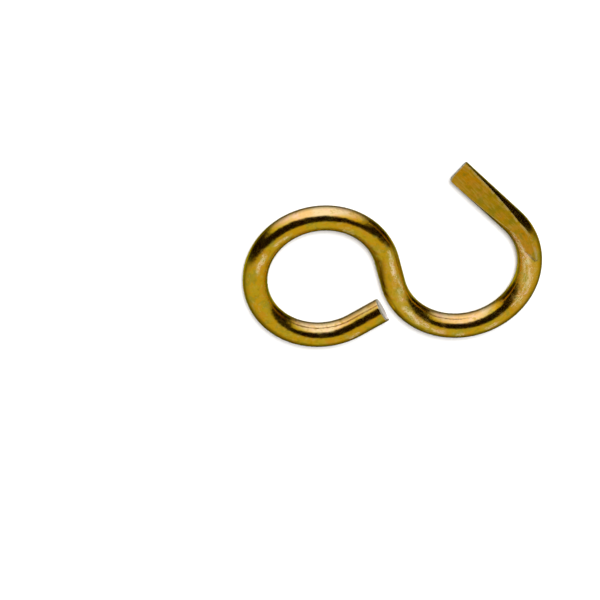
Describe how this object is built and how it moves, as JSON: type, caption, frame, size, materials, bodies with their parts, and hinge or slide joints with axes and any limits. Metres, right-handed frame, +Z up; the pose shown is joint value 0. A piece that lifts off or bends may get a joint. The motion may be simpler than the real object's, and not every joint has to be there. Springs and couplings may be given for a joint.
{
  "type": "s hook",
  "caption": "S-shaped steel wire hook with one nearly closed eye and one open hook whose tip is flattened on one side.",
  "frame": {"origin": "middle of the outline in plan, on the surface that the hook lies on", "axes": "+Z is up, out of the side that carries the flat. +X runs from the open hook to the closed hook. +Y is the side away from the open hook's tip."},
  "size_m": [0.0606, 0.04, 0.005],
  "materials": {
    "hook": "glossy yellow chromate over zinc plating"
  },
  "bodies": {
    "root": {"hook": "hook"}
  },
  "joints": []
}
